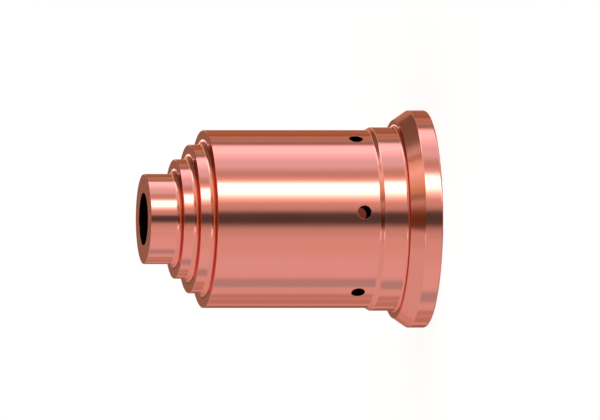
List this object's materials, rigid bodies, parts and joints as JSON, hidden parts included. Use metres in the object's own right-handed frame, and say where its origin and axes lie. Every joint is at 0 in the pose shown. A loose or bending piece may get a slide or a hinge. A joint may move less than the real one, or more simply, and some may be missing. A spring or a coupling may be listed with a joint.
{
  "type": "plasma torch nozzle",
  "caption": "Turned copper torch nozzle with a bevelled rear flange, a ring of radial vents and a stepped nose around a straight bore.",
  "frame": {"origin": "centre of the flange's rear face, which the nozzle stands on", "axes": "+Z along the nozzle's axis from the flange to the nose; one of the radial vents opens towards -Y"},
  "size_m": [0.026, 0.026, 0.0342],
  "materials": {
    "copper": "bright turned copper, polished, uncoated"
  },
  "bodies": {
    "root": {"nozzle": "copper"}
  },
  "joints": []
}
